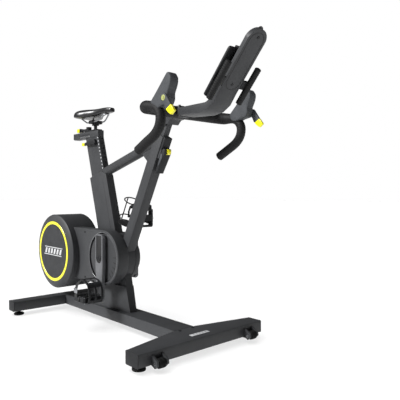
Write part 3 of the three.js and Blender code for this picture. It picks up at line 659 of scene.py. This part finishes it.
markParts = []
for index, low in enumerate((mark["low"], mark["high"] - mark["rail"])):
    left, right = (wheelX + end * mark["half"] + low * mark["shift"] for end in (-1, 1))
    markParts.append(markStroke("markRail_%d" % index, left, right, low, low + mark["rail"]))
for index in range(mark["bars"]):
    left = wheelX - mark["half"] + mark["margin"][0] + index * mark["pitch"]
    markParts.append(markStroke("markBar_%d" % index, left, left + mark["width"], mark["low"] + mark["margin"][1],
                                mark["high"] - mark["margin"][1], mark["slant"]))
trim(merged("discMark", *markParts), "paleTrim", "frame")


def ringOf(x, y, z, radius, degrees):
    return [at(x + radius * math.cos(math.radians(a)), y, z + radius * math.sin(math.radians(a))) for a in degrees]


screws("farCoverScrews", ringOf(wheelX, 45.2, wheelZ, 170, (20, 92, 164, 236, 308))
       + ringOf(0, 66.2, crankZ, 70, (45, 135, 225, 315)), 5.5, 2, (90, 0, 0), "frame", "blackPlastic")
screws("nearCoverScrews", [at(x, -80.4, z) for x, z in ((-150, crankZ + 106), (-150, crankZ - 106))], 5, 1.8,
       (90, 0, 0), "frame", "blackPlastic")
print("covers built")

# Drive, all of it behind the covers.
for node, finish in (("crank_axle", "brushedSteel"), ("crank_bearing_cartridge", "brushedSteel"),
                     ("flywheel_axle", "brushedSteel"), ("crank_pulley", "castIron"), ("flywheel", "castIron"),
                     ("brake_magnet", "blackPlastic"), ("drive_belt", "footRubber")):
    welded(node, finish)

# Cranks: the near one hangs down and the far one stands up, so each points the way of its side's sign.
dress(spun("crankDisc", [(12.3, -75), (100, -75.4), (104, -75.2), (107.4, -73.6), (108, -71.6), (107, -70),
                         (12.3, -70)], 0, crankZ, 128), "mouldedCover", "crank", ("crank_disc",))
# Slots in the crank disc: thin near-black slabs on the face, painted shade for the hollows of the slots.
slotTurns = [math.radians(a) for a in (-70, -55, -40, -25, -10, 5)]
for index, turn in enumerate(slotTurns):
    outer = [(math.cos(turn + s) * r, crankZ + math.sin(turn + s) * r)
             for s, r in ((-0.02, 78), (0.02, 78), (0.028, 99), (-0.028, 99))]
    trim(slab("discSlotShade_%d" % index, outer, -75.6, -74.6, upright), "shadeAndPrintBlack", "crank")
for hand, side in hands:
    welded("crank_arm_" + hand, "crankPaint")
    start = 180 if side < 0 else 0
    # A near-black slab on the arm, from the axle away from the pedal: painted shade standing for the slot in the arm.
    inset = arcPoints(0, crankZ + side * 2, 20.7, start, start + 180, 24)
    inset += [(-side * 20.7, crankZ - side * 100), (side * 20.7, crankZ - side * 100)]
    low, high = sorted((side * 96.3, side * 98.4))
    trim(slab("armSlotShade_" + hand, inset, low, high, upright, 0.5), "shadeAndPrintBlack", "crank")
    boss = [(0, side * 99.4), (6, side * 99.4), (7, side * 101), (11, side * 101), (12, side * 100), (12, side * 96.5),
            (0, side * 96.5)]
    trim(spun("crankBolt_" + hand, boss, 0, crankZ, 48), "blackPlastic", "crank")
    cap = [(0, side * 101.6), (10, side * 101.6), (12, side * 100.6), (12, side * 99), (0, side * 99)]
    trim(spun("armPin_" + hand, cap, 0, crankZ + side * 170, 40), "blackPlastic", "crank")
print("cranks built")

# Pedals with their cages and straps.
for hand, side in hands:
    body = "pedal_" + hand
    centre = joints[body + "_spin"]["pos_m"][2] * 1000
    y = side * 157
    welded("pedal_body_" + hand, "blackPlastic")
    welded("toe_cage_" + hand, "blackPlastic")
    turned = (Matrix.Translation(at(0, 0, centre)) @ Matrix.Rotation(math.radians(-90 if side > 0 else 0), 4, "Y")
              @ Matrix.Translation(-at(0, 0, centre)))
    outer = smoothPath([(-49, 6, 0), (-49.5, 30, 0), (-46, 54, 0), (-34, 72, 0), (-12, 81, 0), (12, 81, 0),
                        (34, 72, 0), (46, 54, 0), (49.5, 30, 0), (49, 6, 0)], 5)
    inner = [Vector((p.x * 0.968, p.y - (1.6 if p.y > 70 else 0), 0)) for p in outer]
    band = [(p.x, p.y) for p in outer] + [(p.x, p.y) for p in reversed(inner)]
    strap = slab("toeStrap_" + hand, [(y + u, centre + v) for u, v in band], -27, -7,
                 acrossOf(uprightMember), 0.3, 1)
    strap.data.transform(turned)
    trim(strap, "wovenStrap", body)
    near = side * 47.5
    frameOut = roundedRect(-31, -3, centre + 26, centre + 48, 3)
    low, high = sorted((y + near + side * 1.4, y + near + side * 4.2))
    buckle = slab("strapBuckle_" + hand, frameOut, low, high, upright, 0.8)
    buckle.data.transform(turned)
    trim(buckle, "brushedSteel", body)
    pins = [turned @ at(x, y + dy, centre + dz) for x in (-40, -25 + 0.5, 0, 24.5, 40) for dy in (-40, 40)
            for dz in (-12.4, 12.4)]
    screws("pedalPins_" + hand, pins, 2.1, 1.8, (0, -90 if side > 0 else 0, 0), body)
    tip = y + side * 47
    trim(spun("spindleCap_" + hand, [(0, tip + side * 2.4), (8, tip + side * 2.4), (10, tip + side * 1),
                                     (10, tip - side * 2), (0, tip - side * 2)], 0, centre, 40),
         "blackPlastic", body)
print("pedals built")

# Seat post, saddle carriage and saddle.
for node, finish in (("seat_post", "powderCoat"), ("saddle_block", "powderCoat"), ("saddle_slider", "blackPlastic"),
                     ("saddle_clamp", "blackPlastic"), ("fore_aft_lever", "blackPlastic"),
                     ("seat_height_lever", "blackPlastic")):
    welded(node, finish)
scaleTicks = [onMember(seatMember, 45, side * 15.9, 412 + 17 * k) for side in (-1, 1) for k in range(10)]
bars("postScale", scaleTicks, (6, 0.5, 6), (0, seatMember["lean"], 0), "paleTrim", "seat_mast")
bars("blockScale", [at(-300 + 11 * k, -17.1, 870) for k in range(9)], (1.2, 0.5, 7), (0, 0, 0), "paleTrim",
     "seat_mast")
leverTips = {"foreAftTip": ("fore_aft_lever", (-341, -317, 899.4, 917.6, 3), (-11.6, 11.6), 1.6),
             "heightTip": ("seat_height_lever", (-260.8, -238, 824.6, 839.4, 3), (-30.6, -16.6), 1.2)}
for name, (lever, outline, thick, bevel) in leverTips.items():
    trim(slab(name, roundedRect(*outline), *thick, upright, bevel), "yellowGloss", lever)

railPoints = [(-276, 36, 966), (-262, 34, 961), (-236, 23, 942), (-220, 21.5, 936), (-185, 21, 936), (-150, 20.5, 936),
              (-130, 20, 940), (-95, 14, 959), (-82, 8, 963)]
railLoop = railPoints + [(x, -y, z) for x, y, z in reversed(railPoints)]
dress(swept("saddleRails", smoothPath([at(*p) for p in railLoop], 6), 3.5, 14), "brushedSteel", "saddle_carriage",
      ("saddle_rails",))

saddle = {"tail": -307, "nose": -32, "stations": 56, "around": 48, "fill": 0.9}
halfWidths = [(0, 34), (0.05, 58), (0.12, 71), (0.2, 74), (0.3, 68), (0.4, 52), (0.5, 37), (0.6, 28), (0.75, 23),
              (0.9, 20), (0.97, 15), (1, 9)]
lowHeights = [(0, 972), (0.06, 961), (0.2, 956.5), (0.4, 957.5), (0.55, 962), (0.7, 966.5), (1, 967.5)]
topHeights = [(0, 990), (0.06, 999), (0.15, 1003), (0.35, 1000), (0.55, 996), (0.8, 995), (0.95, 991), (1, 985)]


def straightBetween(table, t):
    for (t0, v0), (t1, v1) in zip(table, table[1:]):
        if t <= t1:
            return v0 + (v1 - v0) * (t - t0) / (t1 - t0)
    return table[-1][1]


# A table's value at t, averaged over a short window so that the surface has no kinks.
def between(table, t, window=0.14, samples=9):
    reach = min(window / 2, t, 1 - t)
    return sum(straightBetween(table, t + reach * (2 * k / (samples - 1) - 1)) for k in range(samples)) / samples


def saddleRing(t, shrink=1.0):
    half = between(halfWidths, t) * shrink
    top, low = between(topHeights, t), between(lowHeights, t)
    ring = []
    for k in range(saddle["around"]):
        turn = 2 * math.pi * k / saddle["around"]
        u = math.copysign(abs(math.cos(turn)) ** 0.62, math.cos(turn))
        v = math.sin(turn)
        y = half * u
        if v >= 0:
            z = low + 9 + (top - low - 9) * v ** 0.72 * (0.82 + 0.18 * shrink)
            groove = 4.2 * math.exp(-(y / 6.5) ** 2) * max(0, math.sin(math.pi * min(1, max(0, (t - 0.08) / 0.8))))
            z -= groove + 3.2 * (abs(y) / 74) ** 2
        else:
            z = low + 9 + 9 * math.copysign(abs(v) ** 0.6, v)
        ring.append((y, z))
    return ring


def buildSaddle():
    stations = saddle["stations"]
    rings = [(0.0, 0.35, -1.6), (0.0, 0.75, -0.9)] + [(i / stations, 1.0, 0) for i in range(stations + 1)]
    rings += [(1.0, 0.7, 1.0), (1.0, 0.3, 1.6)]
    points, faces = [], []
    for t, shrink, push in rings:
        x = saddle["tail"] + (saddle["nose"] - saddle["tail"]) * t + push
        points += [at(x, y, z) for y, z in saddleRing(t, shrink)]
    n = saddle["around"]
    for i in range(len(rings) - 1):
        faces += [[i * n + k, i * n + (k + 1) % n, (i + 1) * n + (k + 1) % n, (i + 1) * n + k] for k in range(n)]
    faces += [list(range(n)), list(range((len(rings) - 1) * n, len(rings) * n))]
    return softened(makePiece("saddlePad", points, faces, 80))


saddlePad = dress(buildSaddle(), "saddleHide", "saddle_carriage", ("saddle",))
print("saddle built")

# Handlebar, hoods and brake levers.
for node in ("handlebar_post", "stem"):
    welded(node, "powderCoat")
bar = {"x": 430, "z": 903, "radius": 17.8, "padding": 5.5, "padEnd": (215, 262), "hoodY": 212, "ribStart": 150,
       "ribPitch": 9.5, "ribDepth": 0.35}


def barPoints():
    x, z, hoodY = bar["x"], bar["z"], bar["hoodY"]
    right = [(x, 0, z), (x + 3, 70, z), (x + 8, 135, z - 1), (x + 18, 180, z - 3), (x + 42, 201, z - 7),
             (x + 78, 206, z - 11), (x + 108, 207, z - 22), (x + 126, 208, z - 48), (x + 122, 209, z - 82),
             (x + 98, 210, z - 110), (x + 54, hoodY, z - 134), (x + 4, hoodY, z - 160)]
    return [(px, -py, pz) for px, py, pz in reversed(right[1:])] + right


def barRadius(walked, total):
    fromEnd = min(walked, total - walked)
    fade = (abs(walked - total / 2) - bar["padEnd"][0]) / (bar["padEnd"][1] - bar["padEnd"][0])
    size = bar["radius"] + bar["padding"] * (1 - min(1, max(0, fade)))
    if fromEnd < 4:
        size *= math.sqrt(max(0.05, 1 - (1 - fromEnd / 4) ** 2))
    if fromEnd < total / 2 - bar["ribStart"]:
        size -= bar["ribDepth"] * (0.5 + 0.5 * math.cos(2 * math.pi * walked / bar["ribPitch"]))
    return size


dress(swept("barGrip", smoothPath([at(*p) for p in barPoints()], 26), barRadius, 24), "gripRubber", "bar_mast",
      ("handlebar",))
screws("stemBolts", [at(446, y, 928.2) for y in (-20, 20)] + [at(404, y, 929.6) for y in (-20, 20)], 4.4, 3,
       (0, 0, 0), "bar_mast")

hood = {"low": 184, "high": 221, "outline": [
    (514, 906), (530, 920), (567, 957), (600, 991), (610, 992), (622, 974), (622, 953), (606, 924), (607, 903),
    (597, 886), (568, 883), (550, 875), (524, 881)]}
for hand, side in hands:
    low, high = sorted((side * hood["low"], side * hood["high"]))
    shape = slab("hood_shape", hood["outline"], low - 0.8, high + 0.8, upright, 7, 2)
    shape.name = "hoodCover_" + hand
    dress(softened(shape), "hoodRubber", "bar_mast", ("hood_" + hand,))
    ribs = [at(570 + 6 * k, side * 202.5, 960 + 6.1 * k) for k in range(5)]
    bars("hoodRibs_" + hand, ribs, (2.2, 22, 2.2), (0, -42, 0), "blackPlastic", "bar_mast")

    lever = "brake_lever_" + hand
    welded(lever, "hoodRubber")
    tipShape = [(611, 866.4), (621.8, 855), (635.2, 846), (651, 858), (634.4, 880)]
    low, high = sorted((side * 221.9, side * 232.8))
    trim(slab("leverTip_" + hand, tipShape, low, high, upright, 1.8), "yellowGloss", lever)
    face = side * 232.3
    trim(spun("buttonRing_" + hand, [(5.4, face - side * 1), (9.6, face - side * 1), (9.6, face + side * 0.5),
                                     (8.4, face + side * 1.1), (6.4, face + side * 1.1), (5.4, face + side * 0.5)],
              598, 906, 48), "limeTrim", lever)
    low, high = side * 229.4, side * 234.5
    dress(spun("shiftButton_" + hand, [(0, low), (4.9, low), (4.9, high - side * 0.8), (4.2, high - side * 0.1),
                                       (2.4, high), (0, high)], 598, 906, 40), "limeTrim",
          "shift_button_" + hand, ("shift_button_" + hand,))
print("handlebar built")

# Console, tablet and side grips.
welded("console_arm", "powderCoat")
groove = {"outer": (-34.5, 34.5, 6, 216), "radii": (34, 32), "width": 2.2, "front": (-0.4, 0.5), "steps": 14}


def grooveLoop(inset, radius):
    u0, u1, v0, v1 = groove["outer"]
    return roundedRect(u0 + inset, u1 - inset, v0 + inset, v1 - inset, radius, groove["steps"])


def grooveRing():
    outer, inner = grooveLoop(0, groove["radii"][0]), grooveLoop(groove["width"], groove["radii"][1])
    low, high = groove["front"]
    count, points, faces = len(outer), [], []
    for loop, depth in ((outer, low), (outer, high), (inner, high), (inner, low)):
        points += [onMember(consoleMember, depth, u, v) for u, v in loop]
    for a in range(4):
        b = (a + 1) % 4
        faces += [[a * count + k, a * count + (k + 1) % count, b * count + (k + 1) % count, b * count + k]
                  for k in range(count)]
    return makePiece("consoleGrooveShade", points, faces)


# The groove round the console face is a near-black ring: painted shade for its hollow.
trim(grooveRing(), "shadeAndPrintBlack", "bar_mast")
screws("consoleScrews", [onMember(consoleMember, 0.6, 0, v) for v in (26, 200)], 5, 2,
       (0, 90 + consoleMember["lean"], 0), "bar_mast", "blackPlastic")
hookLine = ((-15, 214), (-17, 226), (-12, 231), (-5, 229.5), (-2, 222))
hookPath = smoothPath([onMember(consoleMember, x, 0, z) for x, z in hookLine], 6)
trim(swept("consoleHook", hookPath, 3.2, 12), "blackPlastic", "bar_mast")
# A grey strip on the arm's near side: a painted highlight along the lit edge of the plate.
trim(slab("consoleEdgeHighlight", roundedRect(-13.6, -9.8, 20, 176, 1.8), -45.6, -44.6, sideOf(consoleMember), 0.2),
     "hoodRubber", "bar_mast")

welded("tablet_holder", "blackPlastic")
welded("tablet_clip", "blackPlastic")
tablet = {"low": -46.7, "high": 140, "half": 66, "back": -31.6, "front": -39.7, "corner": 9,
          "glass": (-63, 63, -43.5, 137, 7)}
tabletOutline = roundedRect(-tablet["half"], tablet["half"], tablet["low"], tablet["high"], tablet["corner"])
dress(slab("tabletBody", tabletOutline, tablet["front"], tablet["back"], acrossOf(consoleMember), 1.4),
      "blackPlastic", "bar_mast", ("tablet",))
trim(slab("tabletGlass", roundedRect(*tablet["glass"]), tablet["front"] - 0.4, tablet["front"] + 0.6,
          acrossOf(consoleMember), 0.2), "screenGlass", "bar_mast")


def onScreen(name, outline, finish, rise=0.25):
    face = tablet["front"] - 0.4
    trim(slab(name, outline, face - rise, face + 0.05, acrossOf(consoleMember)), finish, "bar_mast")


# A plain training screen: a rising trace, a pill button and three rows. The rider sees +Y on the left.
trace = [(50, 70), (36, 78), (24, 74), (12, 88), (0, 84), (-14, 100), (-28, 98), (-40, 114), (-50, 122)]
onScreen("screenTrace", trace + [(u, v - 2.2) for u, v in reversed(trace)], "glowYellow")
onScreen("screenArea", [(u, v - 4) for u, v in trace] + [(-50, 60), (50, 60)], "glowGrey", 0.15)
onScreen("screenPill", roundedRect(-22, 22, 38, 49, 5), "glowYellow")
for index, low in enumerate((18, 0, -18)):
    onScreen("screenRow_%d" % index, roundedRect(-50, 50, low, low + 9, 2), "glowGrey")
    onScreen("screenDot_%d" % index, roundedRect(40, 47, low + 1, low + 8, 3), "glowYellow", 0.35)

sideGrip = {"x": 4, "y": 76, "low": -40, "high": 106, "radius": 11.7, "rib": 0.5, "pitch": 8.0}


def gripRadius(walked, total):
    fromEnd = min(walked, total - walked)
    size = sideGrip["radius"]
    if fromEnd < 5:
        size *= math.sqrt(max(0.06, 1 - (1 - fromEnd / 5) ** 2))
    return size - sideGrip["rib"] * (0.5 + 0.5 * math.cos(2 * math.pi * walked / sideGrip["pitch"]))


for hand, side in hands:
    steps = 110
    line = [onMember(consoleMember, sideGrip["x"], side * sideGrip["y"],
                     sideGrip["low"] + (sideGrip["high"] - sideGrip["low"]) * i / steps) for i in range(steps + 1)]
    dress(swept("sideGrip_" + hand, line, gripRadius, 24), "gripRubber", "bar_mast", ("side_grip_" + hand,))
    low, high = sorted((side * 44.5, side * 68))
    bracket = [(-6.8, 16), (-3, 14), (1, 18), (1, 46), (-3, 50), (-6.8, 48)]
    trim(slab("gripBracket_" + hand, bracket, low, high, sideOf(consoleMember), 1.0), "blackPlastic", "bar_mast")
print("console built")

# Fittings on the front column.
collar = roundedRect(23.2, 36.3, 536, 588.8, 2)
trim(slab("columnCollar", collar, -19.4, 19.4, sideOf(columnMember), 0.8), "blackPlastic", "frame")
welded("column_lever", "blackPlastic")
leverPivot = (52, 536)
roller = [(0, -5), (10.4, -5), (11.4, -4), (11.4, 11), (10.4, 12), (0, 12)]
rollerPlace = (lambda radius, turn, along: onMember(
    columnMember, leverPivot[0] + radius * math.sin(turn), along, leverPivot[1] + radius * math.cos(turn)))
trim(spun("leverRoller", roller, 0, 0, 48, rollerPlace), "yellowGloss", "column_lever")
leverPlate = [(38, 524), (50, 524), (54, 512), (49, 476), (43, 470)]
trim(slab("leverPlate", leverPlate, -20.2, -18.2, sideOf(columnMember), 0.5), "hoodRubber", "column_lever")
bottle = {"centre": -64.3, "ring": 36, "wire": 2.8, "heights": (168, 252)}
cageParts = []
for index, height in enumerate(bottle["heights"]):
    loop = [onMember(columnMember, bottle["centre"] + bottle["ring"] * math.cos(a), bottle["ring"] * math.sin(a),
                     height) for a in [2 * math.pi * k / 64 for k in range(64)]]
    cageParts.append(swept("hoop_%d" % index, loop, bottle["wire"], 12, True))
backX = bottle["centre"] - bottle["ring"] - 1
railLine = [(backX, 252), (backX, 220), (backX, 180), (backX, 146), (backX + 12, 141.5), (-30, 141.5)]
railLine = smoothPath([onMember(columnMember, x, 0, z) for x, z in railLine], 8)
cageParts.append(swept("rail", railLine, bottle["wire"], 12))
cageParts.append(slab("plate", roundedRect(-16, 16, 132, 300, 6), -33.3, -25.4, acrossOf(columnMember), 0.8))
dress(merged("bottleCage", *cageParts), "dippedWire", "frame", ("bottle_cage",))
shelfPlace = (lambda radius, turn, along: onMember(
    columnMember, bottle["centre"] + radius * math.sin(turn), radius * math.cos(turn), along))
trim(spun("bottleShelf", [(0, 140), (34, 140), (35.6, 141), (35.6, 142.6), (34, 143), (0, 143)], 0, 0, 64,
          shelfPlace), "dippedWire", "frame")
screws("cageScrews", [onMember(columnMember, -33.6, 0, z) for z in (190, 230)], 4, 2,
       (0, 90 + columnMember["lean"], 0), "frame")
print("fittings built")

# Studio: floor, suns and backdrop.
studio = {"floorHalf": 30.0, "floorZ": -0.0006, "keyFrom": (-0.3, -0.78, 0.6), "key": 4.8, "floor": 2.35,
          "shadow": 1.0, "fill": 4, "world": 0.14, "backdrop": 1.0}


def floorMaterial():
    material, tree = startMaterial("paleFloor")
    place = addNode(tree, "ShaderNodeTexCoord").outputs["Object"]
    _, colour = driftingColour(tree, place, linear("#f6f6f6"), linear("#f9f9f9"), Scale=3.0)
    endMaterial(tree, {"Base Color": colour, "Roughness": 0.9, "Specular IOR Level": 0.1})
    return material


floorHalf, floorZ = studio["floorHalf"], studio["floorZ"]
floorCorners = [(x * floorHalf, y * floorHalf, floorZ) for x, y in ((-1, -1), (1, -1), (1, 1), (-1, 1))]
floor = makePiece("studioFloor", floorCorners, [[0, 1, 2, 3]])
floor.data.materials.append(floorMaterial())


def softLight(name, place, target, size, power):
    data = bpy.data.lights.new(name, "AREA")
    data.shape = "DISK"
    data.size = size
    data.energy = power
    lamp = newObject(name, data)
    aim = (Vector(target) - Vector(place)).to_track_quat("-Z", "Y").to_matrix().to_4x4()
    lamp.matrix_world = Matrix.Translation(Vector(place)) @ aim


def floorGroup(name, linkState):
    group = bpy.data.collections.new(name)
    group.objects.link(floor)
    group.collection_objects[0].light_linking.link_state = linkState
    return group


def sunLight(name, towards, strength, spread):
    data = bpy.data.lights.new(name, "SUN")
    data.energy = strength
    data.angle = math.radians(spread)
    lamp = newObject(name, data)
    lamp.matrix_world = Vector(towards).to_track_quat("Z", "Y").to_matrix().to_4x4()
    return lamp


# The key lights the bike alone; two more suns light the floor alone, and only one of them casts a shadow there.
keySun = sunLight("keySun", studio["keyFrom"], studio["key"], 18)
keySun.light_linking.receiver_collection = floorGroup("allButFloor", "EXCLUDE")
floorSun = sunLight("floorSun", (0, 0, 1), studio["floor"], 10)
floorSun.light_linking.receiver_collection = floorGroup("floorOnly", "INCLUDE")
floorSun.light_linking.blocker_collection = floorGroup("floorBlocks", "INCLUDE")
shadowSun = sunLight("shadowSun", (-0.2, -0.3, 1), studio["shadow"], 50)
shadowSun.light_linking.receiver_collection = floorGroup("shadowFloor", "INCLUDE")
softLight("fillLight", (3.6, 2.6, 2.4), (0, 0, 0.6), 2.6, studio["fill"])
world = bpy.data.worlds.new("studioWorld")
world.use_nodes = True
background = world.node_tree.nodes["Background"]
background.inputs["Color"].default_value = (1, 1, 1, 1)
lightPath = addNode(world.node_tree, "ShaderNodeLightPath")
strength = addNode(world.node_tree, "ShaderNodeMapRange", inputs={
    "Value": lightPath.outputs["Is Camera Ray"], "To Min": studio["world"], "To Max": studio["backdrop"]})
world.node_tree.links.new(strength.outputs["Result"], background.inputs["Strength"])
bpy.context.scene.world = world
bpy.context.scene.view_settings.view_transform = "Standard"
print("studio lit")
